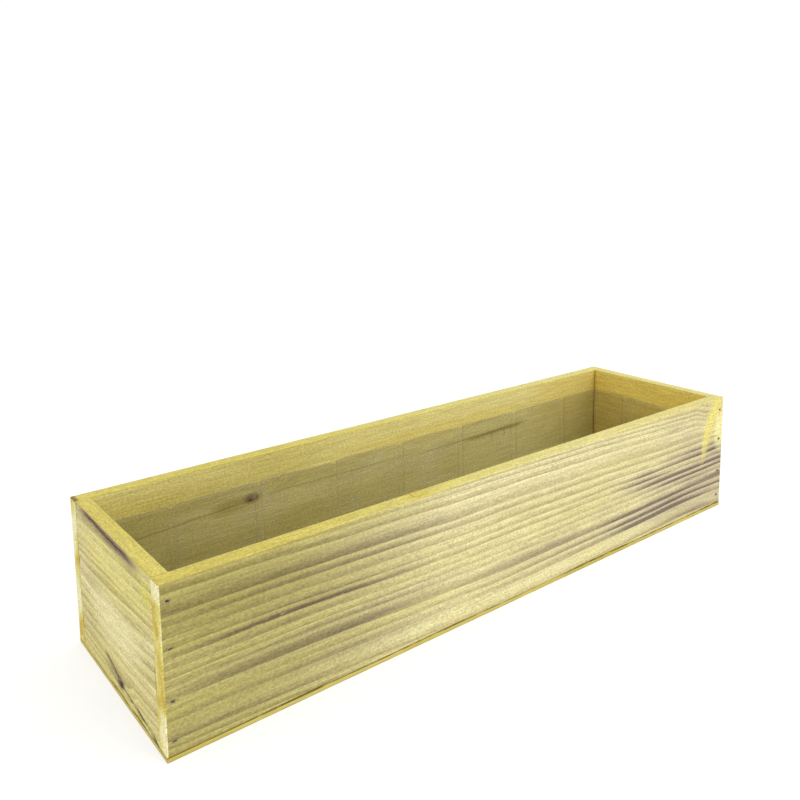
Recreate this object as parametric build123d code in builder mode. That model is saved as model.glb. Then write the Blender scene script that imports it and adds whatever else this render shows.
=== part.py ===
from build123d import *

import math
import os

# A long open-top wooden mould box of nailed boards, with a clear thermoformed liner tray standing in it.
# Frame: origin at the middle of the underside, X along the length, the front long board at -Y, Z up.
# All sizes in millimetres, angles in degrees.

# Box
LENGTH = 528.0  # outside, along X
WIDTH = 147.0  # outside, along Y
HEIGHT = 102.0  # outside, with the bottom panel
BOARD = 10.0  # thickness of the four boards
PANEL = 3.0  # thickness of the bottom panel
EASED_EDGE = 0.8  # sanded radius along the rim and the outer corners

# Brads, 18 gauge
SHANK_WIDTH = 1.25
SHANK_DEPTH = 1.0
HEAD_WIDTH = 2.1
HEAD_THICKNESS = 0.6
CHISEL_POINT = 2.0  # length of the tapered tip
CHISEL_EDGE = 0.3  # width left at the very tip
CORNER_BRAD = 25.0  # length of a brad through a long board into an end board
PANEL_BRAD = 16.0  # length of a brad through the panel into a board's lower edge
HEAD_SINK = 0.5  # how far the driver sets a head below the wood's face

# Where the brads are driven
CORNER_BRAD_HEIGHTS = (11.0, 34.0, 64.0, 91.0)
CORNER_BRAD_TURNS = (-9.0, 6.0, -4.0, 11.0)  # each brad is driven a little askew
PANEL_BRADS_LONG = 6
PANEL_BRAD_PITCH_LONG = 96.0
PANEL_BRADS_END = 2
PANEL_BRAD_PITCH_END = 60.0

# Liner tray
LINER_CLEARANCE = 2.0  # gap to each board at the liner's rim
LINER_HEIGHT = 80.0
LINER_SEAT_GAP = 0.3  # air under the tray's floor
FILM = 0.5  # thickness of the formed sheet
DRAFT = 1.0
LINER_CORNER = 10.0  # upright corner radius at the rim
LINER_FOOT = 4.0  # radius between the walls and the floor
RIB_WIDTH = 6.0  # width of a stiffening groove at the wall's face
RIB_CREST = 2.0  # width across the groove's inner crest
RIB_DEPTH = 2.0
RIB_FOOT = 9.0  # height above the floor at which the grooves stop
RIBS_LONG = 7
RIB_PITCH_LONG = 67.0
RIBS_END = 2
RIB_PITCH_END = 48.0

# Worked out from the sizes above
OUTER_X = LENGTH / 2
OUTER_Y = WIDTH / 2
INNER_X = OUTER_X - BOARD
INNER_Y = OUTER_Y - BOARD
END_BOARD_X = OUTER_X - BOARD / 2
LONG_BOARD_Y = OUTER_Y - BOARD / 2
BOARD_HEIGHT = HEIGHT - PANEL
LINER_X = INNER_X - LINER_CLEARANCE
LINER_Y = INNER_Y - LINER_CLEARANCE
LINER_BASE = PANEL + LINER_SEAT_GAP
LINER_RIM = LINER_BASE + LINER_HEIGHT
DRAFT_SLOPE = math.tan(math.radians(DRAFT))
RIB_FLANK = math.atan2(RIB_DEPTH, (RIB_WIDTH - RIB_CREST) / 2)  # radians, groove's side to the wall

LEFT, RIGHT = -1, 1
FRONT, BACK = -1, 1


def pitched(count, pitch):
    """Evenly spaced places about zero."""
    first = -pitch * (count - 1) / 2
    return [first + pitch * i for i in range(count)]


def write(piece, label):
    piece.part.label = label
    export_step(piece.part, f"parts/{label}.step")


def driven(places, length, head_level):
    """Brads with a T head and a chisel point. Each place is a plane on the wood's face, with its X
    across the head and its Y into the wood. head_level is the depth of the head's top: the driver's
    sink for a brad, or nothing for the pocket that the brad and the driver leave in the wood."""
    neck = HEAD_SINK + HEAD_THICKNESS
    tip = HEAD_SINK + length
    right_side = [
        (HEAD_WIDTH / 2, head_level),
        (HEAD_WIDTH / 2, neck),
        (SHANK_WIDTH / 2, neck),
        (SHANK_WIDTH / 2, tip - CHISEL_POINT),
        (CHISEL_EDGE / 2, tip),
    ]
    left_side = [(-x, y) for x, y in reversed(right_side)]
    with BuildPart() as brads:
        for place in places:
            with BuildSketch(place):
                with BuildLine():
                    Polyline(*right_side, *left_side, close=True)
                make_face()
            extrude(amount=SHANK_DEPTH / 2, both=True)
    return brads


def corner_places(end, side):
    """The four brads at one corner, driven through the long board into the end board."""
    places = []
    for height, turn in zip(CORNER_BRAD_HEIGHTS, CORNER_BRAD_TURNS):
        face = Plane(
            origin=(end * END_BOARD_X, side * OUTER_Y, height),
            x_dir=(1, 0, 0),
            z_dir=(0, 0, -side),
        )
        places.append(face.rotated((0, turn, 0)))
    return places


def panel_places_long(side):
    """The brads driven up through the panel into a long board."""
    return [
        Plane(origin=(x, side * LONG_BOARD_Y, 0), x_dir=(1, 0, 0), z_dir=(0, -1, 0))
        for x in pitched(PANEL_BRADS_LONG, PANEL_BRAD_PITCH_LONG)
    ]


def panel_places_end(end):
    """The brads driven up through the panel into an end board."""
    return [
        Plane(origin=(end * END_BOARD_X, y, 0), x_dir=(0, 1, 0), z_dir=(1, 0, 0))
        for y in pitched(PANEL_BRADS_END, PANEL_BRAD_PITCH_END)
    ]


os.makedirs("parts", exist_ok=True)

# Brads: four at each corner, and a row under each board. One node holds one group.
corner_groups = {
    "corner_brads_front_left": corner_places(LEFT, FRONT),
    "corner_brads_front_right": corner_places(RIGHT, FRONT),
    "corner_brads_back_left": corner_places(LEFT, BACK),
    "corner_brads_back_right": corner_places(RIGHT, BACK),
}
panel_groups = {
    "panel_brads_front": panel_places_long(FRONT),
    "panel_brads_back": panel_places_long(BACK),
    "panel_brads_left": panel_places_end(LEFT),
    "panel_brads_right": panel_places_end(RIGHT),
}
for label, places in corner_groups.items():
    write(driven(places, CORNER_BRAD, HEAD_SINK), label)
for label, places in panel_groups.items():
    write(driven(places, PANEL_BRAD, HEAD_SINK), label)

corner_pockets = driven(sum(corner_groups.values(), []), CORNER_BRAD, 0)
panel_pockets = driven(sum(panel_groups.values(), []), PANEL_BRAD, 0)


# Long boards: full length, so their end grain shows at both ends of the box.
def long_board(side):
    with BuildPart() as board:
        with BuildSketch(Plane.XY.offset(PANEL)):
            with Locations((0, side * LONG_BOARD_Y)):
                Rectangle(LENGTH, BOARD)
        extrude(amount=BOARD_HEIGHT)
        outer_corners = board.edges().filter_by(Axis.Z).group_by(Axis.Y)[0 if side == FRONT else -1]
        rim = board.edges().group_by(Axis.Z)[-1].filter_by(Axis.X)
        fillet(outer_corners + rim, EASED_EDGE)
        add(corner_pockets.part, mode=Mode.SUBTRACT)
        add(panel_pockets.part, mode=Mode.SUBTRACT)
    return board


write(long_board(FRONT), "front_board")
write(long_board(BACK), "back_board")


# End boards: cut to fit between the long boards, flush with their ends.
def end_board(end):
    with BuildPart() as board:
        with BuildSketch(Plane.XY.offset(PANEL)):
            with Locations((end * END_BOARD_X, 0)):
                Rectangle(BOARD, 2 * INNER_Y)
        extrude(amount=BOARD_HEIGHT)
        rim = board.edges().group_by(Axis.Z)[-1].filter_by(Axis.Y)
        fillet(rim, EASED_EDGE)
        add(corner_pockets.part, mode=Mode.SUBTRACT)
        add(panel_pockets.part, mode=Mode.SUBTRACT)
    return board


write(end_board(LEFT), "left_end_board")
write(end_board(RIGHT), "right_end_board")

# Bottom panel: a thin sheet under all four boards, its edge flush with their faces.
with BuildPart() as bottom_panel:
    with BuildSketch():
        Rectangle(LENGTH, WIDTH)
    extrude(amount=PANEL)
    add(panel_pockets.part, mode=Mode.SUBTRACT)
write(bottom_panel, "bottom_panel")


# Liner: a tray formed from one clear sheet, its walls stiffened by grooves pressed inwards.
def tray(inset):
    """The tray's outside at no inset, or the hollow inside it at an inset of the film's thickness."""
    half_x = LINER_X - inset
    half_y = LINER_Y - inset
    floor = LINER_BASE + inset
    groove_low = LINER_BASE + RIB_FOOT - inset
    mitre = inset * math.tan(RIB_FLANK / 2)
    mouth = RIB_WIDTH / 2 + mitre
    crest = RIB_CREST / 2 + mitre
    walls = [(0, half_y, RIBS_LONG, RIB_PITCH_LONG), (180, half_y, RIBS_LONG, RIB_PITCH_LONG)]
    walls += [(90, half_x, RIBS_END, RIB_PITCH_END), (270, half_x, RIBS_END, RIB_PITCH_END)]
    with BuildPart() as body:
        with BuildSketch(Plane.XY.offset(LINER_RIM)):
            RectangleRounded(2 * half_x, 2 * half_y, LINER_CORNER - inset)
        extrude(amount=floor - LINER_RIM, taper=DRAFT)
        fillet(body.edges().group_by(Axis.Z)[0], LINER_FOOT - inset)
        for turn, reach, count, pitch in walls:
            for along in pitched(count, pitch):
                for level in (LINER_RIM, groove_low):
                    wall = -reach + (LINER_RIM - level) * DRAFT_SLOPE
                    outline = [
                        (along - mouth, wall - RIB_DEPTH),
                        (along - mouth, wall),
                        (along - crest, wall + RIB_DEPTH),
                        (along + crest, wall + RIB_DEPTH),
                        (along + mouth, wall),
                        (along + mouth, wall - RIB_DEPTH),
                    ]
                    with BuildSketch(Plane.XY.offset(level).rotated((0, 0, turn))):
                        with BuildLine():
                            Polyline(*outline, close=True)
                        make_face()
                loft(ruled=True, mode=Mode.SUBTRACT)
    return body


liner_outside = tray(0)
liner_hollow = tray(FILM)
with BuildPart() as liner:
    add(liner_outside.part)
    add(liner_hollow.part, mode=Mode.SUBTRACT)
write(liner, "liner")
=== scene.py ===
import bmesh
import bpy
from math import pi, radians, tan
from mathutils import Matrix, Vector


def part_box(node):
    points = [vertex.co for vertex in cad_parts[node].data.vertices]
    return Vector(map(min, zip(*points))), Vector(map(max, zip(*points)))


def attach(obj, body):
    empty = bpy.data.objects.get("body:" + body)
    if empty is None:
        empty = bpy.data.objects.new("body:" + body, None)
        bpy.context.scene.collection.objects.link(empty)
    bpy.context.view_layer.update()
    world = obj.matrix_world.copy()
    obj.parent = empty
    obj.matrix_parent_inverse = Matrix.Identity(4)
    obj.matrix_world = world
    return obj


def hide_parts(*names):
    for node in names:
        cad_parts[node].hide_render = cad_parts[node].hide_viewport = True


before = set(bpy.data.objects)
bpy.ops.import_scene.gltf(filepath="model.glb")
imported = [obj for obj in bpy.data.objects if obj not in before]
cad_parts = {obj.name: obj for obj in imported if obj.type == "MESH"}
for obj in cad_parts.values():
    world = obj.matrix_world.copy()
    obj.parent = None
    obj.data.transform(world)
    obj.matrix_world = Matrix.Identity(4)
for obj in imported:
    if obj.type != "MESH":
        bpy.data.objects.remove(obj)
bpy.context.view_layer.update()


# Long boards: two full-length boards of pale softwood, planed on the inside. The outside is wire-brushed
# along the grain and scorched with a torch, so the soft wood sinks between the rings and the hard rings
# stand up darker. The rim and the ends are sawn and sanded after that, so they are clean yellow wood.
MM = 0.001
front_low, front_high = (Vector(corner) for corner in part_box("front_board"))
panel_low, panel_high = (Vector(corner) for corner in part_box("bottom_panel"))
half_length = panel_high.x
half_width = panel_high.y
rim_height = front_high.z
board_thickness = front_high.y - front_low.y
inner_half_width = half_width - board_thickness

GRAIN_CELL = 2.0 * MM  # mesh size along the grain
RING_CELL = 0.75 * MM  # mesh size up the board, across the rings
THROUGH_CELL = 1.4 * MM  # mesh size through the board
MOST_CUTS = 100  # that one subdivision makes
SANDED_EDGE = 0.9 * MM  # radius of a fully sanded edge
SMOOTH_ANGLE = radians(50)
BRUSH_DEPTH = 0.55 * MM  # how far the brush wears the soft wood down
PLANED_DEPTH = 0.05 * MM  # how far a plane or a saw does
BRUSH_DRIFT = 0.3 * MM  # how unevenly the brush is pressed on
SPLIT_DEPTH = 0.8 * MM
RIM_CRACK_DEPTH = 0.6 * MM
RING_PITCH = 6.2 * MM
THIN_RING_PITCH = 2.3 * MM
END_RING_PITCH = 1.6 * MM
RING_RIPPLE = 2.4 * MM  # how far a ring strays within a hand's width
RING_SPREAD = 24 * MM  # how unevenly the years grew
FIBRE_DEPTH = 0.12 * MM


def only(piece):
    bpy.ops.object.select_all(action="DESELECT")
    piece.select_set(True)
    bpy.context.view_layer.objects.active = piece


def apply_modifier(piece, kind, **settings):
    only(piece)
    modifier = piece.modifiers.new(kind.title(), kind)
    for name, value in settings.items():
        setattr(modifier, name, value)
    bpy.ops.object.modifier_apply(modifier=modifier.name)


def plank(name, low, high, sanded):
    """A board with eased edges. sanded gives each edge's share of the full radius, from its middle."""
    bpy.ops.object.select_all(action="DESELECT")
    bpy.ops.mesh.primitive_cube_add(size=1, location=(low + high) / 2, scale=high - low)
    piece = bpy.context.object
    piece.name = name
    bpy.ops.object.transform_apply(location=True, rotation=True, scale=True)
    weights = piece.data.attributes.new("bevel_weight_edge", "FLOAT", "EDGE")
    for edge in piece.data.edges:
        first, second = (piece.data.vertices[i].co for i in edge.vertices)
        weights.data[edge.index].value = sanded((first + second) / 2)
    apply_modifier(piece, "BEVEL", width=SANDED_EDGE, segments=3, limit_method="WEIGHT")
    return piece


def select_along(piece, axis):
    """Selects the edges that run along one axis, and gives the longest one's length."""
    bpy.ops.mesh.select_mode(type="EDGE")
    bpy.ops.mesh.select_all(action="DESELECT")
    mesh = bmesh.from_edit_mesh(piece.data)
    longest = 0
    for edge in mesh.edges:
        run = edge.verts[1].co - edge.verts[0].co
        if abs(run[axis]) > 0.99 * run.length and run.length > 2 * MM:
            edge.select_set(True)
            longest = max(longest, run.length)
    bmesh.update_edit_mesh(piece.data)
    return longest


def cut_along(piece, axis, cell):
    """Cuts the long edges along one axis into cells of one size. One pass makes at most a hundred cuts."""
    only(piece)
    bpy.ops.object.mode_set(mode="EDIT")
    longest = select_along(piece, axis)
    stretches = round(longest / cell) // MOST_CUTS + 1
    if stretches > 1:
        bpy.ops.mesh.subdivide(number_cuts=stretches - 1)
        longest = select_along(piece, axis)
    bpy.ops.mesh.subdivide(number_cuts=round(longest / cell) - 1)
    bpy.ops.object.mode_set(mode="OBJECT")


def slice_at(piece, axis, places):
    """Adds a line of edges right round a piece at each place along an axis."""
    only(piece)
    bpy.ops.object.mode_set(mode="EDIT")
    for place in places:
        bpy.ops.mesh.select_all(action="SELECT")
        point = Vector()
        point[axis] = place
        normal = Vector()
        normal[axis] = 1
        bpy.ops.mesh.bisect(plane_co=point, plane_no=normal)
    bpy.ops.object.mode_set(mode="OBJECT")


class Wiring:
    """Adds nodes to a material or to a relief, so that one grain drives both. x, y and z are the point."""

    def __init__(self, tree, point):
        self.tree = tree
        split = tree.nodes.new("ShaderNodeSeparateXYZ")
        tree.links.new(point, split.inputs[0])
        self.x, self.y, self.z = split.outputs

    def node(self, kind, **settings):
        made = self.tree.nodes.new(kind)
        for name, value in settings.items():
            setattr(made, name, value)
        return made

    def feed(self, socket, value):
        """Sets a socket to a number, a colour or another node's output."""
        if isinstance(value, bpy.types.NodeSocket):
            self.tree.links.new(value, socket)
        else:
            socket.default_value = value

    def calc(self, operation, *values):
        """One step of arithmetic, by its node's own name for it."""
        made = self.node("ShaderNodeMath", operation=operation)
        for socket, value in zip(made.inputs, values):
            self.feed(socket, value)
        return made.outputs[0]

    def add(self, *values):
        total = values[0]
        for value in values[1:]:
            total = self.calc("ADD", total, value)
        return total

    def times(self, *values):
        total = values[0]
        for value in values[1:]:
            total = self.calc("MULTIPLY", total, value)
        return total

    def ease(self, value, start, end):
        """0 before start and 1 after end, smoothly. End may be the lower."""
        made = self.node("ShaderNodeMapRange", interpolation_type="SMOOTHSTEP")
        self.feed(made.inputs["Value"], value)
        made.inputs["From Min"].default_value = start
        made.inputs["From Max"].default_value = end
        return made.outputs[0]

    def noise(self, x, y, z, detail=2.0, rough=0.5):
        """A soft noise about 0.5, whose three coordinates are already scaled."""
        join = self.node("ShaderNodeCombineXYZ")
        for socket, value in zip(join.inputs, (x, y, z)):
            self.feed(socket, value)
        made = self.node("ShaderNodeTexNoise")
        made.inputs["Scale"].default_value = 1.0
        made.inputs["Detail"].default_value = detail
        made.inputs["Roughness"].default_value = rough
        self.tree.links.new(join.outputs[0], made.inputs["Vector"])
        return made.outputs[0]

    def spot(self, along, up, centre, size):
        """1 at a centre on the face, falling to 0 at the edge of an oval."""
        across = self.times(self.add(along, -centre[0]), 1 / size[0])
        rise = self.times(self.add(up, -centre[1]), 1 / size[1])
        return self.ease(self.add(self.times(across, across), self.times(rise, rise)), 1.0, 0.0)

    def line(self, along, up, start, end, width, wander=0.0):
        """1 on a line across the face that thins out at its ends and wanders like a crack."""
        share = self.times(self.add(along, -start[0]), 1 / (end[0] - start[0]))
        middle = self.add(self.times(share, end[1] - start[1]), start[1])
        sway = self.noise(self.times(along, 55.0), start[0] * 90, start[1] * 90, detail=3.0)
        middle = self.add(middle, self.times(self.add(sway, -0.5), wander))
        off = self.calc("ABSOLUTE", self.calc("SUBTRACT", up, middle))
        ends = self.times(self.ease(share, -0.05, 0.2), self.ease(share, 1.05, 0.8))
        return self.times(self.ease(off, width, 0.0), ends)

    def blend(self, share, first, second, mode="MIX"):
        """The first colour, with the second laid over it by its share."""
        made = self.node("ShaderNodeMix", data_type="RGBA", blend_type=mode)
        for socket, value in zip((made.inputs[0], made.inputs[6], made.inputs[7]), (share, first, second)):
            self.feed(socket, value)
        return made.outputs[2]

    def scale(self, vector, amount):
        """A direction or a colour, made stronger or weaker all alike."""
        made = self.node("ShaderNodeVectorMath", operation="SCALE")
        self.tree.links.new(vector, made.inputs[0])
        self.tree.links.new(amount, made.inputs["Scale"])
        return made.outputs[0]

    def bump(self, shader, height, depth, strength):
        """Gives a shader the relief that is too fine for the mesh."""
        made = self.node("ShaderNodeBump")
        made.inputs["Distance"].default_value = depth
        made.inputs["Strength"].default_value = strength
        self.tree.links.new(height, made.inputs["Height"])
        self.tree.links.new(made.outputs[0], shader.inputs["Normal"])


class Grain:
    """The rings of one board at the wiring's point, and masks that are 1 on each of the board's faces."""

    def __init__(self, wiring, board):
        w = wiring
        lengthways = board["axis"] == 0
        self.along, self.depth = (w.x, w.y) if lengthways else (w.y, w.x)
        self.up, seed = w.z, board["seed"]
        face, half_run = (half_width, half_length) if lengthways else (half_length, half_width)
        inner_face = face - board_thickness
        reach = w.times(self.depth, board["side"])
        self.outside = w.ease(reach, face - 1.6 * MM, face - 0.7 * MM)
        self.inside = w.ease(reach, inner_face + 0.9 * MM, inner_face + 0.4 * MM)
        self.rim = w.ease(self.up, rim_height - 1.1 * MM, rim_height - 0.5 * MM)
        self.end = w.ease(w.calc("ABSOLUTE", self.along), half_run - 1.1 * MM, half_run - 0.5 * MM)
        self.flat = w.times(w.calc("SUBTRACT", 1.0, self.rim), w.calc("SUBTRACT", 1.0, self.end))

        # Each ring lies at one level, which sways, ripples and lifts round a knot
        sway = w.noise(w.add(w.times(self.along, board["sway_pace"]), seed), w.times(self.depth, 8.0),
                       w.times(self.up, 7.0), detail=1.0)
        ripple = w.noise(w.add(w.times(self.along, 14.0), seed), w.times(self.depth, 30.0),
                         w.times(self.up, 50.0), detail=1.0)
        level = w.add(self.up, w.times(self.depth, board["slant"]), w.times(self.along, board["run_out"]),
                      w.times(sway, board["sway"]), w.times(ripple, RING_RIPPLE))
        for centre, size, lift in board["knots"]:
            level = w.add(level, w.times(w.spot(self.along, self.up, centre, size), lift))
        spread = w.noise(seed, 3.1, w.times(level, 45.0), detail=1.0)
        level = w.add(level, w.times(spread, RING_SPREAD))

        # A ring hardens slowly over its year, and stops at once
        ring = w.calc("FRACT", w.times(level, -1 / RING_PITCH))
        self.hard = w.times(w.ease(ring, 0.15, 0.85), w.ease(ring, 1.0, 0.93))
        # A painted highlight: a thin pale line in the soft wood just past each hard ring's edge.
        self.ring_highlight = w.ease(ring, 0.16, 0.02)
        fade = w.noise(w.add(w.times(self.along, 3.2), seed), 7.7, w.times(level, 110.0), detail=1.5)
        self.strength = w.ease(fade, 0.34, 0.62)
        thin = w.calc("FRACT", w.times(level, -1 / THIN_RING_PITCH))
        self.thin = w.times(w.ease(thin, 0.15, 0.85), w.ease(thin, 1.0, 0.9))

        self.splits = [w.line(self.along, self.up, *split[:4]) for split in board["splits"]]
        self.cracks = []
        for place, opening in board["rim_cracks"]:
            off = w.calc("ABSOLUTE", w.add(self.along, -place))
            inner = w.ease(reach, face - 2.5 * MM, face - 4.0 * MM)
            self.cracks.append(w.times(w.ease(off, opening, 0.0), inner, self.rim))


def new_relief(name):
    """A tree that moves each point of a surface, with its wiring, the normals and the move's socket."""
    tree = bpy.data.node_groups.new(name, "GeometryNodeTree")
    for way in ("INPUT", "OUTPUT"):
        tree.interface.new_socket("Geometry", in_out=way, socket_type="NodeSocketGeometry")
    start = tree.nodes.new("NodeGroupInput")
    end = tree.nodes.new("NodeGroupOutput")
    place = tree.nodes.new("GeometryNodeInputPosition")
    normal = tree.nodes.new("GeometryNodeInputNormal")
    move = tree.nodes.new("GeometryNodeSetPosition")
    tree.links.new(start.outputs[0], move.inputs["Geometry"])
    tree.links.new(move.outputs[0], end.inputs[0])
    return tree, Wiring(tree, place.outputs[0]), normal.outputs[0], move.inputs["Offset"]


def brush(piece, board):
    """Sinks the soft wood: deep on the outer face, only a trace on the sawn rim and the planed inside."""
    tree, w, normal, offset = new_relief(piece.name + "_brushed")
    g = Grain(w, board)
    soft = w.times(w.add(g.hard, -1.0), w.add(w.times(g.strength, 0.65), 0.35))
    depth = w.add(w.times(g.outside, g.flat, BRUSH_DEPTH - PLANED_DEPTH), PLANED_DEPTH)
    drift = w.noise(w.times(g.along, 6.0), board["seed"], w.times(g.up, 20.0))
    drift = w.times(w.add(drift, -0.65), BRUSH_DRIFT, g.outside, g.flat)
    sink = w.add(w.times(soft, depth), drift)
    for split in g.splits:
        sink = w.add(sink, w.times(split, g.outside, -SPLIT_DEPTH))
    for crack in g.cracks:
        sink = w.add(sink, w.times(crack, -RIM_CRACK_DEPTH))
    for centre, size, dent in board["dents"]:
        sink = w.add(sink, w.times(w.spot(g.along, g.up, centre, size), g.outside, -dent))
    tree.links.new(w.scale(normal, sink), offset)
    apply_modifier(piece, "NODES", node_group=tree)


def shade(red, green, blue):
    """A swatch's 0 to 255 values as linear light."""
    return tuple((value / 255) ** 2.2 for value in (red, green, blue)) + (1.0,)


STRAW = shade(226, 217, 165)
DEEP_STRAW = shade(211, 200, 138)
RING_BROWN = shade(174, 160, 108)
# Pale wood, also the colour of the painted highlight along the rings.
PALE_WOOD_AND_HIGHLIGHT = shade(230, 222, 150)
SMOKE = shade(187, 175, 139)
CHAR = shade(112, 98, 85)
PLANED = shade(226, 215, 144)
PLANED_DEEP = shade(197, 181, 100)
RIM_YELLOW = shade(206, 196, 112)
RIM_OCHRE = shade(193, 175, 76)
RIM_BLEACHED = shade(210, 198, 128)
END_GRAIN = shade(214, 202, 116)
END_OCHRE = shade(192, 166, 62)
END_PALE = shade(232, 226, 176)
KNOT = shade(104, 80, 58)
SPLIT = shade(58, 46, 34)
NAIL_STAIN = shade(120, 110, 86)
OLIVE_WASH = shade(208, 205, 164)


# How strongly each mark of the wood shows
THIN_RING_SHARE = 0.42
RING_SHARE = 0.9
# The painted highlight along each ring's edge:
RING_HIGHLIGHT_SHARE = 0.35
SMOKE_SHARE = 0.6
MOST_SMOKE = 0.8
CHAR_SHARE = 1.4
MOST_CHAR = 0.92
PORE_SHARE = 0.6
FIBRE_CONTRAST = 0.75
SPECK_CONTRAST = 1.2
FIBRE_BUMP = 0.6
WOOD_SPECULAR = 0.3


def new_finish(name):
    """A material with its tree, and wiring that starts from the piece's own coordinates."""
    material = bpy.data.materials.new(name)
    material.use_nodes = True
    tree = material.node_tree
    return material, tree, Wiring(tree, tree.nodes.new("ShaderNodeTexCoord").outputs["Object"])


def wood(name, board):
    material, tree, w = new_finish(name)
    shader = tree.nodes["Principled BSDF"]
    g = Grain(w, board)
    along, depth, up, seed = g.along, g.depth, g.up, board["seed"]
    tone = w.noise(w.add(w.times(along, 5.0), seed), w.times(depth, 15.0), w.times(up, 30.0))
    fibre = w.noise(w.times(along, 45.0), w.times(depth, 900.0), w.times(up, 900.0), detail=3.0, rough=0.6)
    speck = w.noise(w.times(along, 520.0), w.times(depth, 850.0), w.times(up, 850.0), detail=2.0, rough=0.7)
    ring = w.times(g.hard, w.add(w.times(g.strength, 0.50), 0.50))

    # Outer face: straw-coloured wood between brown rings, smoked and then charred by the torch
    outer = w.blend(w.ease(tone, 0.35, 0.65), STRAW, DEEP_STRAW)
    outer = w.blend(w.times(g.thin, w.ease(tone, 0.6, 0.4), THIN_RING_SHARE), outer, RING_BROWN)
    outer = w.blend(w.times(ring, RING_SHARE), outer, RING_BROWN)
    # A painted highlight along the edge of each hard ring.
    outer = w.blend(w.times(g.ring_highlight, g.strength, RING_HIGHLIGHT_SHARE), outer, PALE_WOOD_AND_HIGHLIGHT)
    torch = board["scorch"]
    for centre, size, amount in board["torched"]:
        torch = w.add(torch, w.times(w.spot(along, up, centre, size), amount))
    patchy = w.noise(w.add(w.times(along, 6.0), seed), 1.0, w.times(up, 70.0))
    torch = w.times(torch, w.ease(patchy, 0.18, 0.52))
    smoked = w.calc("MINIMUM", w.times(torch, SMOKE_SHARE), MOST_SMOKE)
    charred = w.calc("MINIMUM", w.times(torch, torch, ring, CHAR_SHARE), MOST_CHAR)
    outer = w.blend(smoked, outer, SMOKE)
    outer = w.blend(charred, outer, CHAR)
    for centre, size, tint, amount in board["washes"]:
        outer = w.blend(w.times(w.spot(along, up, centre, size), amount), outer, tint, mode="MULTIPLY")
    for centre, size, tint, amount in board["patches"]:
        outer = w.blend(w.times(w.spot(along, up, centre, size), amount), outer, tint)
    for start, end, width, wander, tint, amount in board["streaks"]:
        outer = w.blend(w.times(w.line(along, up, start, end, width, wander), amount), outer, tint)
    for split, (_, _, _, _, tint) in zip(g.splits, board["splits"]):
        outer = w.blend(split, outer, tint)

    # Inner face: planed, so the rings hardly show
    planed = w.blend(w.ease(tone, 0.3, 0.7), PLANED, PLANED_DEEP)
    planed = w.blend(w.times(g.thin, 0.22), planed, PLANED_DEEP)
    planed = w.blend(w.times(ring, 0.55), planed, PLANED_DEEP)
    for centre, size, tint, amount in board["stains"]:
        planed = w.blend(w.times(w.spot(along, up, centre, size), amount), planed, tint)
    for start, end, width, wander, tint, amount in board["grain_lines"]:
        planed = w.blend(w.times(w.line(along, up, start, end, width, wander), amount), planed, tint)

    # Rim: freshly sawn, more yellow than either face
    rim = w.blend(w.times(w.add(ring, w.ease(tone, 0.4, 0.7)), 0.35), RIM_YELLOW, RIM_OCHRE)
    for place, run, tint, amount in board["rim_tints"]:
        rim = w.blend(w.times(w.spot(along, 0.0, (place, 0.0), (run, 1.0)), amount), rim, tint)
    for crack in g.cracks:
        rim = w.blend(crack, rim, KNOT)

    # Ends: the years in section, close together
    layers = w.noise(w.times(depth, 60.0), seed, w.times(up, 42.0), detail=2.0)
    bare_end = w.blend(w.ease(layers, 0.34, 0.46), END_OCHRE, END_GRAIN)
    bare_end = w.blend(w.ease(layers, 0.46, 0.58), bare_end, END_PALE)
    growth = w.calc("FRACT", w.times(w.add(w.times(up, 0.35), depth), 1 / END_RING_PITCH))
    bare_end = w.blend(w.times(w.ease(growth, 0.3, 0.95), 0.28), bare_end, END_OCHRE)

    # All faces together, with the pores and fibres that run through them
    faces = w.blend(g.inside, outer, planed)
    faces = w.blend(g.end, faces, bare_end)
    faces = w.blend(g.rim, faces, rim)
    pins = w.noise(w.times(along, 190.0), w.times(depth, 1100.0), w.times(up, 1100.0), detail=0.0)
    pores = w.times(w.ease(pins, 0.73, 0.80), w.ease(tone, 0.45, 0.6), PORE_SHARE)
    faces = w.blend(pores, faces, RING_BROWN)
    fibres = w.times(w.add(fibre, -0.5), FIBRE_CONTRAST)
    specks = w.times(w.add(speck, -0.5), SPECK_CONTRAST)
    tree.links.new(w.scale(faces, w.add(1.0, fibres, specks)), shader.inputs["Base Color"])
    tree.links.new(w.add(0.60, w.times(fibre, 0.2)), shader.inputs["Roughness"])
    shader.inputs["Specular IOR Level"].default_value = WOOD_SPECULAR
    w.bump(shader, w.add(fibre, w.times(speck, 0.5)), FIBRE_DEPTH, FIBRE_BUMP)
    return material


def finish_board(name, node, board, sanded):
    """Saws, sands, brushes and scorches one board, and puts it on the frame in place of its plain one."""
    low, high = (Vector(corner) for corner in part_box(node))
    piece = plank(name, low, high, sanded)
    cut_along(piece, board["axis"], GRAIN_CELL)
    cut_along(piece, 2, RING_CELL)
    cut_along(piece, 1 - board["axis"], THROUGH_CELL)
    for place, opening in board["rim_cracks"]:
        slice_at(piece, board["axis"], (place - opening, place, place + opening))
    brush(piece, board)
    piece.data.materials.append(wood(name + "_wood", board))
    only(piece)
    bpy.ops.object.shade_smooth_by_angle(angle=SMOOTH_ANGLE)
    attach(piece, "box")
    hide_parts(node)
    return piece


def long_board_edges(middle):
    """The share of the full sanding that each edge of a long board gets."""
    on_end = abs(middle.x) > half_length - MM
    outer = abs(middle.y) > half_width - MM
    if abs(middle.z - panel_high.z) < MM:
        return 0.4
    if on_end:
        return 0.6 if outer or middle.z > rim_height - MM else 0.2
    return 1.0 if outer else 0.7


BRAD_HEIGHTS = (11 * MM, 34 * MM, 64 * MM, 91 * MM)
BRAD_FROM_END = 4.8 * MM
NAIL_STAIN_SIZE = (3.4 * MM, 2.2 * MM)


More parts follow.
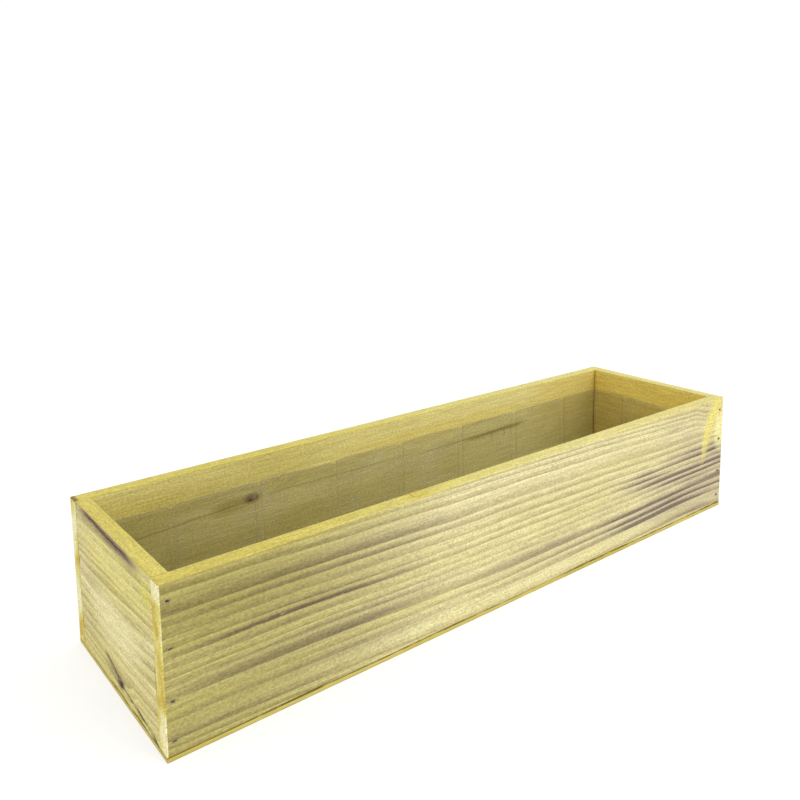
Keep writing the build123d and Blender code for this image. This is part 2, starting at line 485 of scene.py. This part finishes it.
def nail_stains(end):
    """The grey smudge that each corner brad leaves on the wood round it."""
    along = end * (half_length - BRAD_FROM_END)
    return [((along, height), NAIL_STAIN_SIZE, NAIL_STAIN, 0.55) for height in BRAD_HEIGHTS]


# The rings tilt through a board (slant) and along it (run_out), sway, and lift round its knots. Each mark
# has its place as the distance along the board and the height, in metres. An oval then has its half length
# and half height. A line has a second place, its half width and how far it wanders. Last comes the mark's
# strength, or a knot's lift, or a dent's depth.
LILAC_WASH = shade(228, 222, 230)
GREY_WASH = shade(236, 232, 236)
STREAK_YELLOW = shade(216, 202, 108)
front = {
    "axis": 0, "side": -1, "seed": 4.3, "slant": 0.35, "run_out": 0.02, "sway": 20 * MM, "sway_pace": 2.2,
    "knots": [((0.252, 0.094), (0.03, 0.03), 5 * MM)],
    "scorch": 0.2,
    "torched": [
        ((-0.185, 0.077), (0.16, 0.022), 0.42),
        ((-0.165, 0.038), (0.14, 0.010), 0.66),
        ((-0.180, 0.057), (0.12, 0.008), 0.6),
        ((-0.20, 0.018), (0.14, 0.012), 0.6),
        ((-0.02, 0.088), (0.2, 0.020), 0.10),
        ((0.215, 0.051), (0.12, 0.015), 1.2),
        ((0.215, 0.024), (0.13, 0.022), 0.85),
        ((0.09, 0.030), (0.16, 0.016), 0.5),
        ((0.10, 0.010), (0.2, 0.012), 0.3),
    ],
    "washes": [
        ((-0.28, 0.06), (0.23, 0.30), OLIVE_WASH, 0.95),
        ((-0.27, 0.085), (0.13, 0.03), OLIVE_WASH, 0.4),
        ((0.27, 0.02), (0.14, 0.07), LILAC_WASH, 0.7),
        ((0.24, 0.082), (0.10, 0.04), GREY_WASH, 0.6),
    ],
    "patches": [
        ((0.262, 0.074), (0.015, 0.026), PALE_WOOD_AND_HIGHLIGHT, 0.75),
        ((0.2555, 0.0935), (0.0022, 0.0028), KNOT, 0.7),
        ((0.2555, 0.0935), (0.0012, 0.0015), RIM_OCHRE, 0.9),
    ] + nail_stains(-1) + nail_stains(1),
    "streaks": [((0.266, 0.118), (0.2310, 0.057), 24 * MM, 4 * MM, STREAK_YELLOW, 0.95)],
    "rim_cracks": [(-0.091, 0.45 * MM)],
    "rim_tints": [
        (-0.26, 0.15, RIM_OCHRE, 0.7),
        (-0.087, 0.012, RIM_OCHRE, 0.8),
        (0.15, 0.22, RIM_BLEACHED, 0.7),
    ],
    "splits": [], "dents": [], "stains": [], "grain_lines": [],
}

INSIDE_GOLD = shade(240, 226, 150)
INSIDE_OCHRE = shade(208, 178, 74)
KNOT_HALO = shade(176, 156, 62)
KNOT_HEART = shade(160, 132, 96)
WATER_STAIN = shade(160, 134, 56)
STRIPE_OCHRE = shade(216, 192, 90)
STRIPE_TAN = shade(228, 208, 140)
back = {
    "axis": 0, "side": 1, "seed": 11.9, "slant": -0.3, "run_out": -0.015, "sway": 18 * MM, "sway_pace": 2.6,
    "knots": [((-0.138, 0.070), (0.05, 0.020), 6 * MM)],
    "scorch": 0.35,
    "torched": [((0.12, 0.060), (0.2, 0.04), 0.7), ((-0.2, 0.03), (0.1, 0.03), 0.8)],
    "washes": [((0.1, 0.02), (0.3, 0.05), OLIVE_WASH, 0.5)],
    "patches": nail_stains(-1) + nail_stains(1),
    "stains": [
        ((0.14, 0.06), (0.30, 0.14), INSIDE_GOLD, 0.42),
        ((0.24, 0.075), (0.10, 0.07), INSIDE_OCHRE, 0.45),
        ((-0.150, 0.0675), (0.026, 0.008), KNOT_HALO, 0.7),
        ((-0.138, 0.070), (0.0085, 0.0048), KNOT, 0.85),
        ((-0.1365, 0.0712), (0.004, 0.0018), KNOT_HEART, 0.6),
        ((-0.1395, 0.0688), (0.003, 0.0014), SPLIT, 0.7),
        ((0.05, 0.084), (0.15, 0.009), STRIPE_OCHRE, 0.5),
        ((-0.03, 0.062), (0.16, 0.010), STRIPE_TAN, 0.5),
        ((0.124, 0.064), (0.0014, 0.005), KNOT, 0.4),
        ((0.132, 0.0655), (0.001, 0.004), KNOT, 0.35),
        ((0.108, 0.0635), (0.0012, 0.0035), KNOT, 0.35),
        ((0.2537, 0.055), (0.0022, 0.06), KNOT, 0.6),
    ],
    "grain_lines": [
        ((-0.258, 0.062), (-0.145, 0.0685), 1.0 * MM, 1.5 * MM, KNOT, 0.5),
        ((-0.132, 0.0700), (0.02, 0.0690), 0.8 * MM, 1.5 * MM, KNOT, 0.36),
        ((0.01, 0.0665), (0.155, 0.0690), 0.9 * MM, 1 * MM, KNOT, 0.5),
        ((0.070, 0.0665), (0.155, 0.0685), 3.6 * MM, 1.5 * MM, WATER_STAIN, 0.75),
        ((-0.130, 0.0715), (-0.108, 0.0830), 0.8 * MM, 1 * MM, KNOT, 0.25),
        ((-0.122, 0.0710), (-0.094, 0.0790), 0.8 * MM, 1 * MM, KNOT, 0.22),
    ],
    "rim_tints": [
        (-0.2, 0.2, RIM_OCHRE, 0.6),
        (0.2, 0.15, RIM_BLEACHED, 0.5),
        (-0.2635, 0.003, KNOT, 0.8),
    ],
    "splits": [], "dents": [], "streaks": [], "rim_cracks": [],
}
long_boards = {
    "front": finish_board("long_board_front", "front_board", front, long_board_edges),
    "back": finish_board("long_board_back", "back_board", back, long_board_edges),
}


# End boards: two short boards cut to fit between the long ones, butted and nailed. They come from the same
# brushed and scorched stock, with a bark-edged streak and a small split knot left in the left one.
BARK = shade(122, 100, 82)
CREAM_WASH = shade(250, 246, 180)
PALE_WASH = shade(250, 246, 205)
OCHRE_WASH = shade(226, 214, 140)
BARE_PATCH = shade(228, 219, 164)
HONEY_PATCH = shade(226, 213, 136)
LEMON_PATCH = shade(206, 196, 92)
KNOT_FLECK = shade(170, 150, 110)
INSIDE_AMBER = shade(240, 209, 98)
left = {
    "axis": 1, "side": -1, "seed": 21.4, "slant": 0.3, "run_out": 0.04, "sway": 6 * MM, "sway_pace": 5.0,
    "knots": [((-0.005, 0.010), (0.03, 0.012), 5 * MM), ((0.0, 0.026), (0.14, 0.046), 9 * MM)],
    "splits": [
        ((0.068, 0.1005), (-0.048, 0.0975), 6.8 * MM, 3 * MM, BARK),
        ((0.052, 0.0985), (-0.030, 0.0975), 0.9 * MM, 3 * MM, SPLIT),
        ((0.022, 0.0195), (-0.008, 0.0110), 1.3 * MM, 3 * MM, SPLIT),
        ((-0.002, 0.0100), (-0.064, 0.0030), 1.5 * MM, 4 * MM, SPLIT),
    ],
    "dents": [((-0.0634, 0.043), (0.0022, 0.018), 1.0 * MM)],
    "scorch": 0.10,
    "torched": [
        ((0.0, 0.084), (0.07, 0.016), 0.12),
        ((0.035, 0.060), (0.045, 0.008), 0.4),
        ((0.045, 0.026), (0.035, 0.010), 0.5),
    ],
    "washes": [
        ((-0.01, 0.084), (0.10, 0.034), CREAM_WASH, 0.7),
        ((0.0, 0.02), (0.14, 0.05), PALE_WASH, 0.6),
    ],
    "patches": [
        ((0.0, 0.045), (0.055, 0.020), BARE_PATCH, 0.7),
        ((0.0, 0.083), (0.075, 0.012), HONEY_PATCH, 0.45),
        ((0.004, 0.0125), (0.022, 0.0065), NAIL_STAIN, 0.55),
        ((-0.004, 0.0105), (0.0075, 0.0052), KNOT, 0.95),
        ((-0.0055, 0.0100), (0.0035, 0.0024), SPLIT, 0.9),
        ((-0.002, 0.0120), (0.0022, 0.0012), KNOT_FLECK, 0.8),
        ((-0.055, 0.088), (0.010, 0.010), LEMON_PATCH, 0.7),
        ((-0.0634, 0.043), (0.0019, 0.018), SPLIT, 1.0),
    ],
    "streaks": [((-0.045, 0.0035), (0.070, 0.0050), 3.5 * MM, 1 * MM, RIM_YELLOW, 0.5)],
    "rim_tints": [(0.0, 0.2, RIM_OCHRE, 0.55)],
    "stains": [], "grain_lines": [], "rim_cracks": [],
}
right = {
    "axis": 1, "side": 1, "seed": 31.7, "slant": -0.3, "run_out": -0.04, "sway": 10 * MM, "sway_pace": 7.0,
    "knots": [((0.02, 0.030), (0.07, 0.03), 8 * MM)],
    "scorch": 0.3,
    "torched": [((-0.02, 0.06), (0.06, 0.012), 0.8), ((0.03, 0.03), (0.06, 0.02), 0.6)],
    "washes": [((0.05, 0.08), (0.08, 0.05), OCHRE_WASH, 0.4)],
    "stains": [((0.0, 0.06), (0.2, 0.1), INSIDE_AMBER, 0.8)],
    "rim_tints": [(0.0, 0.2, RIM_BLEACHED, 0.4)],
    "splits": [], "dents": [], "patches": [], "streaks": [], "grain_lines": [], "rim_cracks": [],
}


def end_board_edges(middle):
    """The same shares for an end board, whose edges along the joints stay nearly sharp."""
    outer = abs(middle.x) > half_length - MM
    if abs(middle.y) > inner_half_width - MM or abs(middle.z - panel_high.z) < MM:
        return 0.2
    return 1.0 if outer else 0.7


finish_board("end_board_left", "left_end_board", left, end_board_edges)
finish_board("end_board_right", "right_end_board", right, end_board_edges)


# Bottom panel: one thin three-ply sheet under all four boards, nailed up into their edges. Its cut edge
# shows all round as a fine line, with the middle ply's end grain a little darker than the faces.
PANEL_EASING = 0.45  # share of a board's sanding
PANEL_CELL = 4 * MM
PLY_CELL = 0.8 * MM  # mesh size through the sheet
PLY_FIBRE_DEPTH = 0.1 * MM
PLY_BUMP = 0.5
PLY_ROUGHNESS = 0.7
PLY_PALE = shade(214, 202, 120)
PLY_DEEP = shade(196, 180, 88)
PLY_MIDDLE = shade(170, 150, 68)
PLY_EDGE = shade(176, 156, 60)
# Colour of the painted shade along the cut edge's top and bottom arrises.
PLY_ARRIS_SHADE = shade(120, 104, 40)
PLY_UNDERSIDE = shade(206, 190, 116)

panel = plank("ply_panel", panel_low, panel_high, lambda middle: PANEL_EASING)
cut_along(panel, 0, PANEL_CELL)
cut_along(panel, 1, PANEL_CELL)
cut_along(panel, 2, PLY_CELL)


def plywood():
    material, tree, w = new_finish("plywood")
    shader = tree.nodes["Principled BSDF"]
    veneer = w.noise(w.times(w.x, 7.0), w.times(w.y, 60.0), w.times(w.z, 60.0), detail=3.0)
    fibre = w.noise(w.times(w.x, 60.0), w.times(w.y, 900.0), w.times(w.z, 900.0), detail=3.0, rough=0.6)
    shade_mottle = w.noise(w.times(w.x, 90.0), w.times(w.y, 90.0), 2.0, detail=3.0)

    middle_ply = w.times(w.ease(w.z, 0.9 * MM, 1.1 * MM), w.ease(w.z, 2.1 * MM, 1.9 * MM))
    # Painted shade on the top and bottom arrises of the cut edge, where the boards sit on the sheet and
    # where it meets the floor.
    shaded_arris = w.calc("MAXIMUM", w.ease(w.z, 0.9 * MM, 0.3 * MM), w.ease(w.z, 2.3 * MM, 2.7 * MM))
    end_edge = w.ease(w.calc("ABSOLUTE", w.x), half_length - 1.5 * MM, half_length - MM)
    long_edge = w.ease(w.calc("ABSOLUTE", w.y), half_width - 1.5 * MM, half_width - MM)
    cut_edge = w.calc("MAXIMUM", end_edge, long_edge)
    underside = w.ease(w.z, 0.25 * MM, 0.02 * MM)

    face = w.blend(w.ease(veneer, 0.35, 0.65), PLY_PALE, PLY_DEEP)
    face = w.blend(w.times(middle_ply, 0.45), face, PLY_MIDDLE)
    face = w.blend(w.times(cut_edge, 0.35), face, PLY_EDGE)
    # The painted shade darkens the arrises of the cut edge, mottled by a noise.
    face = w.blend(w.times(shaded_arris, cut_edge, w.add(w.ease(shade_mottle, 0.3, 0.6), 0.35), 0.7), face, PLY_ARRIS_SHADE)
    face = w.blend(underside, face, PLY_UNDERSIDE)
    fine = w.add(1.0, w.times(w.add(fibre, -0.5), 0.6))
    tree.links.new(w.scale(face, fine), shader.inputs["Base Color"])
    shader.inputs["Roughness"].default_value = PLY_ROUGHNESS
    shader.inputs["Specular IOR Level"].default_value = WOOD_SPECULAR
    w.bump(shader, fibre, PLY_FIBRE_DEPTH, PLY_BUMP)
    return material


panel.data.materials.append(plywood())
only(panel)
bpy.ops.object.shade_smooth_by_angle(angle=SMOOTH_ANGLE)
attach(panel, "box")
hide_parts("bottom_panel")


# Brads: thin wire nails with small T heads, driven just below the face. The gun leaves a short dark slot
# over each head. The brads themselves are the frame's own, with a dull wire finish.
WIRE_GREY = shade(96, 92, 84)
WIRE_TARNISH = shade(62, 56, 50)
BRUISED_PALE = shade(92, 78, 52)
BRUISED_DARK = shade(48, 40, 30)
SLOT_PLAY = 0.12 * MM  # how much wider than the head the slot is
SLOT_RUN = 1.5 * MM  # how far the cutter reaches out over a head
HEAD_FLATNESS = 0.02 * MM  # how near to the head's top level its faces lie
DOUBLE = 0.002 * MM  # points of the frame's mesh that are the same point


def wire():
    material, tree, w = new_finish("brad_wire")
    shader = tree.nodes["Principled BSDF"]
    drawn = w.noise(w.times(w.x, 2500.0), w.times(w.y, 2500.0), w.times(w.z, 2500.0), detail=3.0)
    tarnish = w.blend(w.ease(drawn, 0.35, 0.65), WIRE_GREY, WIRE_TARNISH)
    tree.links.new(tarnish, shader.inputs["Base Color"])
    tree.links.new(w.add(0.35, w.times(drawn, 0.3)), shader.inputs["Roughness"])
    shader.inputs["Metallic"].default_value = 0.85
    return material


def bruised_wood():
    material, tree, w = new_finish("bruised_wood")
    crushed = w.noise(w.times(w.x, 1800.0), w.times(w.y, 1800.0), w.times(w.z, 1800.0))
    bruise = w.blend(crushed, BRUISED_PALE, BRUISED_DARK)
    tree.links.new(bruise, tree.nodes["Principled BSDF"].inputs["Base Color"])
    return material


brad_wire = wire()
bruised = bruised_wood()


def punch(piece, node, outward):
    """Cuts the driver's slot over each head of a group of brads."""
    cutter = bpy.data.objects.new("punch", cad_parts[node].data.copy())
    bpy.context.collection.objects.link(cutter)
    only(cutter)
    cutter.data.materials.clear()
    cutter.data.materials.append(bruised)
    bpy.ops.object.mode_set(mode="EDIT")
    bpy.ops.mesh.select_all(action="SELECT")
    bpy.ops.mesh.remove_doubles(threshold=DOUBLE)
    bpy.ops.mesh.select_mode(type="FACE")
    bpy.ops.mesh.select_all(action="DESELECT")
    mesh = bmesh.from_edit_mesh(cutter.data)
    head_level = max(vertex.co.dot(outward) for vertex in mesh.verts)
    for face in mesh.faces:
        if all(vertex.co.dot(outward) > head_level - HEAD_FLATNESS for vertex in face.verts):
            face.select_set(True)
    bmesh.update_edit_mesh(cutter.data)
    bpy.ops.mesh.extrude_region_move(TRANSFORM_OT_translate={"value": outward * SLOT_RUN})
    bpy.ops.object.mode_set(mode="OBJECT")
    apply_modifier(cutter, "DISPLACE", strength=SLOT_PLAY, mid_level=0.0)
    apply_modifier(piece, "BOOLEAN", object=cutter, operation="DIFFERENCE", solver="MANIFOLD")
    bpy.data.objects.remove(cutter)


for node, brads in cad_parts.items():
    if "brads" in node:
        brads.data.materials.clear()
        brads.data.materials.append(brad_wire)
down = Vector((0, 0, -1))
for side, outward in (("front", Vector((0, -1, 0))), ("back", Vector((0, 1, 0)))):
    for end in ("left", "right"):
        punch(long_boards[side], f"corner_brads_{side}_{end}", outward)
    punch(panel, "panel_brads_" + side, down)
for end in ("left", "right"):
    punch(panel, "panel_brads_" + end, down)


# Liner: a tray formed from one clear sheet over a block, so it has no flange. Upright grooves pressed into
# its walls stiffen it. Between them the walls bow a little, and the corners at its foot are crinkled.
tray_low, tray_high = (Vector(corner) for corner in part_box("liner"))
tray_size = tray_high - tray_low
FILM = 0.5 * MM
DRAFT = tan(radians(1.0))
TRAY_CORNER = 10 * MM
TRAY_FOOT = 4 * MM
GROOVE_PITCH = 67 * MM
GROOVE_MOUTH = 3.0 * MM  # half of the groove's width at the wall
GROOVE_CREST = 0.9 * MM  # half of its width at the bottom of the groove
GROOVE_DEPTH = 2.0 * MM
GROOVE_DIP = 1.5 * MM  # how far the rim is drawn down where a groove runs out over it
GROOVE_CREASE = 0.75
LONG_GROOVES = [GROOVE_PITCH * i for i in range(-3, 4)]
END_GROOVES = [-24 * MM, 24 * MM]
groove_foot = tray_low.z + 9 * MM
PLAIN_CELL = 8 * MM
WALL_CELL = 6 * MM
BOW = 0.9 * MM
WRINKLE = 0.7 * MM
CORNER_WRINKLE = 1.6 * MM
RIM_WAVE = 3.2 * MM

bpy.ops.object.select_all(action="DESELECT")
bpy.ops.mesh.primitive_cube_add(size=1, location=(tray_low + tray_high) / 2, scale=tray_size)
tray = bpy.context.object
tray.name = "liner_tray"
bpy.ops.object.transform_apply(location=True, rotation=True, scale=True)
bpy.ops.object.mode_set(mode="EDIT")


def select_parts(piece, parts, wanted):
    """Selects the vertices, edges or faces that are wanted, told by their middle and their corners."""
    bpy.ops.mesh.select_mode(type={"verts": "VERT", "edges": "EDGE", "faces": "FACE"}[parts])
    bpy.ops.mesh.select_all(action="DESELECT")
    mesh = bmesh.from_edit_mesh(piece.data)
    for part in getattr(mesh, parts):
        corners = [part.co] if parts == "verts" else [vertex.co for vertex in part.verts]
        if wanted(sum(corners, Vector()) / len(corners), corners):
            part.select_set(True)
    mesh.select_flush_mode()
    bmesh.update_edit_mesh(piece.data)


# The floor is drawn in for the draft, the top is taken off, and the corners and the foot are rounded.
drawn_in = tray_size.z * DRAFT
select_parts(tray, "faces", lambda middle, corners: middle.z < tray_low.z + MM)
bpy.ops.transform.resize(value=(1 - 2 * drawn_in / tray_size.x, 1 - 2 * drawn_in / tray_size.y, 1),
                         center_override=(0, 0, tray_low.z))
select_parts(tray, "faces", lambda middle, corners: middle.z > tray_high.z - MM)
bpy.ops.mesh.delete(type="ONLY_FACE")
select_parts(tray, "edges", lambda middle, corners: abs(corners[0].z - corners[1].z) > tray_size.z / 4)
bpy.ops.mesh.bevel(offset=TRAY_CORNER, segments=8)
select_parts(tray, "edges", lambda middle, corners: max(corner.z for corner in corners) < tray_low.z + MM)
bpy.ops.mesh.bevel(offset=TRAY_FOOT, segments=5)
bpy.ops.object.mode_set(mode="OBJECT")


def groove_cuts(grooves, reach):
    """Where a wall is cut: at each groove's edges, and evenly between the grooves."""
    cuts = []
    for groove in grooves:
        cuts += [groove + step for step in (-GROOVE_MOUTH, -GROOVE_CREST, GROOVE_CREST, GROOVE_MOUTH)]
    stops = [-reach] + grooves + [reach]
    for first, second in zip(stops, stops[1:]):
        count = round((second - first) / PLAIN_CELL)
        cuts += [first + (second - first) * i / count for i in range(1, count)]
    return cuts


slice_at(tray, 0, groove_cuts(LONG_GROOVES, tray_high.x))
slice_at(tray, 1, groove_cuts(END_GROOVES, tray_high.y))
levels = [groove_foot - 1.5 * MM, groove_foot, groove_foot + 2 * MM]
levels += [groove_foot + 9 * MM + WALL_CELL * i for i in range(10)]
levels += [tray_high.z - 2 * MM]
slice_at(tray, 2, levels)


def press_grooves(axis, grooves, side):
    """Pushes the crest of each groove inwards on one wall, and draws the rim down over it."""
    across = 1 - axis
    wall = tray_high[across]
    inward = Vector()
    inward[across] = -side * GROOVE_DEPTH

    def on_crest(middle):
        return any(abs(middle[axis] - groove) < GROOVE_CREST + 0.1 * MM for groove in grooves)

    select_parts(tray, "verts", lambda middle, corners: (
        side * middle[across] > wall - 3 * MM
        and middle.z > groove_foot + MM
        and on_crest(middle)))
    bpy.ops.transform.translate(value=inward)
    select_parts(tray, "verts", lambda middle, corners: (
        side * middle[across] > wall - GROOVE_DEPTH - 3 * MM
        and middle.z > tray_high.z - 0.5 * MM
        and on_crest(middle)))
    bpy.ops.transform.translate(value=(0, 0, -GROOVE_DIP))


only(tray)
bpy.ops.object.mode_set(mode="EDIT")
for side in (-1, 1):
    press_grooves(0, LONG_GROOVES, side)
for side in (-1, 1):
    press_grooves(1, END_GROOVES, side)
bpy.ops.object.mode_set(mode="OBJECT")


def on_groove_edge(place, grooves):
    return any(abs(abs(place - groove) - step) < 0.4 * MM
               for groove in grooves for step in (GROOVE_MOUTH, GROOVE_CREST))


# The upright edges of the grooves stay crisp when the sheet is smoothed.
creases = tray.data.attributes.new("crease_edge", "FLOAT", "EDGE")
for edge in tray.data.edges:
    ends = (tray.data.vertices[i].co for i in edge.vertices)
    low, high = sorted(ends, key=lambda corner: corner.z)
    upright = high.z - low.z > 0.8 * (high - low).length and low.z > groove_foot + MM
    on_long = on_groove_edge(low.x, LONG_GROOVES) and abs(low.y) > tray_high.y - 5 * MM
    on_end = on_groove_edge(low.y, END_GROOVES) and abs(low.x) > tray_high.x - 5 * MM
    if upright and (on_long or on_end):
        creases.data[edge.index].value = GROOVE_CREASE
apply_modifier(tray, "SUBSURF", levels=1, render_levels=1)


def crinkle(piece):
    """Bows the walls between the grooves, wrinkles the sheet, most at its foot, and waves its cut rim."""
    tree, w, normal, offset = new_relief(piece.name + "_crinkled")
    height = w.ease(w.z, tray_low.z + 12 * MM, tray_high.z)
    on_long = w.ease(w.calc("ABSOLUTE", w.y), tray_high.y - 6 * MM, tray_high.y - 4 * MM)
    bay = w.calc("FRACT", w.times(w.x, 1 / GROOVE_PITCH))
    bow = w.times(w.calc("SINE", w.times(bay, pi)), height, on_long, BOW)
    wrinkle = w.noise(w.times(w.x, 38.0), w.times(w.y, 38.0), w.times(w.z, 30.0), detail=2.0)
    corner = w.times(w.ease(w.calc("ABSOLUTE", w.x), tray_high.x - 70 * MM, tray_high.x - 5 * MM),
                     w.ease(w.z, tray_low.z + 45 * MM, tray_low.z + 5 * MM))
    amount = w.add(w.times(corner, CORNER_WRINKLE), WRINKLE)
    off = w.add(bow, w.times(w.add(wrinkle, -0.5), amount))
    cut = w.noise(w.times(w.x, 16.0), w.times(w.y, 16.0), 5.0, detail=2.0)
    dip = w.times(w.add(cut, -0.8), w.ease(w.z, tray_high.z - 14 * MM, tray_high.z), RIM_WAVE)
    trim = w.node("ShaderNodeCombineXYZ")
    tree.links.new(dip, trim.inputs["Z"])
    both = w.node("ShaderNodeVectorMath", operation="ADD")
    tree.links.new(w.scale(normal, off), both.inputs[0])
    tree.links.new(trim.outputs[0], both.inputs[1])
    tree.links.new(both.outputs[0], offset)
    apply_modifier(piece, "NODES", node_group=tree)


crinkle(tray)
apply_modifier(tray, "SOLIDIFY", thickness=FILM, offset=-1.0)

CLEAR = (0.950, 0.950, 0.950, 1)
CLEAR_AT_A_GLANCE = (0.86, 0.86, 0.86, 1)  # the same film seen nearly edge on
STRESSED = (0.87, 0.87, 0.87, 1)
MILKY = (0.82, 0.82, 0.82, 1)
GLOSS_ROUGHNESS = 0.07


def stress_lines(w):
    """The hazy lines where the sheet was stretched, along both edges of each groove."""
    bay = w.calc("FRACT", w.add(w.times(w.x, 1 / GROOVE_PITCH), 0.5))
    from_groove = w.times(w.calc("ABSOLUTE", w.add(bay, -0.5)), GROOVE_PITCH)
    from_end_groove = w.calc("ABSOLUTE", w.add(w.calc("ABSOLUTE", w.y), END_GROOVES[0]))
    last_groove = LONG_GROOVES[-1] + 14 * MM
    past_groove_foot = w.ease(w.z, groove_foot - MM, groove_foot + MM)
    stress = 0.0
    for gap, across, wall, along, last in ((from_groove, w.y, tray_high.y, w.x, last_groove),
                                           (from_end_groove, w.x, tray_high.x, w.y, tray_high.x)):
        edge = w.ease(w.calc("ABSOLUTE", w.add(gap, -GROOVE_MOUTH)), 0.8 * MM, 0.1 * MM)
        on_wall = w.ease(w.calc("ABSOLUTE", across), wall - 6 * MM, wall - 4.5 * MM)
        within = w.ease(w.calc("ABSOLUTE", along), last + MM, last)
        stress = w.add(w.times(edge, on_wall, within, past_groove_foot), stress)
    return stress


def clear_film():
    material, tree, w = new_finish("clear_film")
    tree.nodes.remove(tree.nodes["Principled BSDF"])
    out = tree.nodes["Material Output"]
    cloud = w.noise(w.times(w.x, 22.0), w.times(w.y, 22.0), w.times(w.z, 26.0), detail=3.0, rough=0.6)
    scuff = w.noise(w.times(w.x, 300.0), w.times(w.y, 300.0), w.times(w.z, 60.0), detail=2.0)
    stress = stress_lines(w)
    cut_edge = w.ease(w.z, tray_high.z - 5 * MM, tray_high.z - MM)
    facing = w.node("ShaderNodeLayerWeight")
    facing.inputs["Blend"].default_value = 0.5
    grazing = w.calc("POWER", facing.outputs["Facing"], 5.0)

    clear = w.node("ShaderNodeBsdfTransparent")
    tint = w.blend(grazing, CLEAR, CLEAR_AT_A_GLANCE)
    tint = w.blend(w.times(stress, 0.6), tint, STRESSED)
    tree.links.new(tint, clear.inputs["Color"])
    milky = w.node("ShaderNodeBsdfDiffuse")
    milky.inputs["Color"].default_value = MILKY
    gloss = w.node("ShaderNodeBsdfGlossy")
    gloss.inputs["Roughness"].default_value = GLOSS_ROUGHNESS

    haze = w.node("ShaderNodeMixShader")
    clouding = w.times(w.ease(cloud, 0.5, 0.75), 0.06)
    scuffing = w.times(w.ease(scuff, 0.62, 0.75), 0.05)
    haze_share = w.add(0.012, clouding, scuffing, w.times(stress, 0.05), w.times(cut_edge, 0.03))
    tree.links.new(haze_share, haze.inputs[0])
    tree.links.new(clear.outputs[0], haze.inputs[1])
    tree.links.new(milky.outputs[0], haze.inputs[2])
    surface = w.node("ShaderNodeMixShader")
    tree.links.new(w.add(0.04, w.times(grazing, 0.9)), surface.inputs[0])
    tree.links.new(haze.outputs[0], surface.inputs[1])
    tree.links.new(gloss.outputs[0], surface.inputs[2])
    tree.links.new(surface.outputs[0], out.inputs["Surface"])
    return material


tray.data.materials.append(clear_film())
only(tray)
bpy.ops.object.shade_smooth_by_angle(angle=radians(40))
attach(tray, "liner")
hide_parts("liner")


# Studio: a white paper floor, lit a little from below, and soft white light from all round, with one
# large soft lamp from the front right. The camera stands off the front left corner and looks down a little.
PAPER_GREY = (0.45, 0.45, 0.45, 1)
WHITE = (1, 1, 1, 1)
FLOOR_SIZE = 40
FLOOR_GAP = 0.2 * MM  # keeps the floor out of the panel's underside

bpy.ops.object.select_all(action="DESELECT")
bpy.ops.mesh.primitive_plane_add(size=FLOOR_SIZE, location=(0, 0, -FLOOR_GAP))
floor = bpy.context.object
floor.name = "floor"
paper = bpy.data.materials.new("paper")
paper.use_nodes = True
paper_shader = paper.node_tree.nodes["Principled BSDF"]
paper_shader.inputs["Base Color"].default_value = PAPER_GREY
paper_shader.inputs["Emission Color"].default_value = WHITE
paper_shader.inputs["Emission Strength"].default_value = 0.6
paper_shader.inputs["Roughness"].default_value = 1.0
paper_shader.inputs["Specular IOR Level"].default_value = 0.0
floor.data.materials.append(paper)

world = bpy.data.worlds.new("studio")
bpy.context.scene.world = world
world.use_nodes = True
world.node_tree.nodes["Background"].inputs["Color"].default_value = WHITE
world.node_tree.nodes["Background"].inputs["Strength"].default_value = 1.03

soft_box = bpy.data.lights.new("key", "AREA")
soft_box.size = 1.2
soft_box.energy = 10
lamp = bpy.data.objects.new("key", soft_box)
bpy.context.collection.objects.link(lamp)
lamp.location = (0.7, -1.2, 1.1)
lamp.rotation_euler = (-lamp.location).to_track_quat("-Z", "Y").to_euler()

lens = bpy.data.cameras.new("camera")
lens.lens = 37.5
lens.shift_y = -0.15
camera = bpy.data.objects.new("camera", lens)
bpy.context.collection.objects.link(camera)
camera.location = (-0.4106, -0.4688, 0.3175)
camera.rotation_euler = (radians(81.71), radians(0.70), radians(-37.97))
bpy.context.scene.camera = camera
bpy.context.scene.view_settings.view_transform = "Standard"
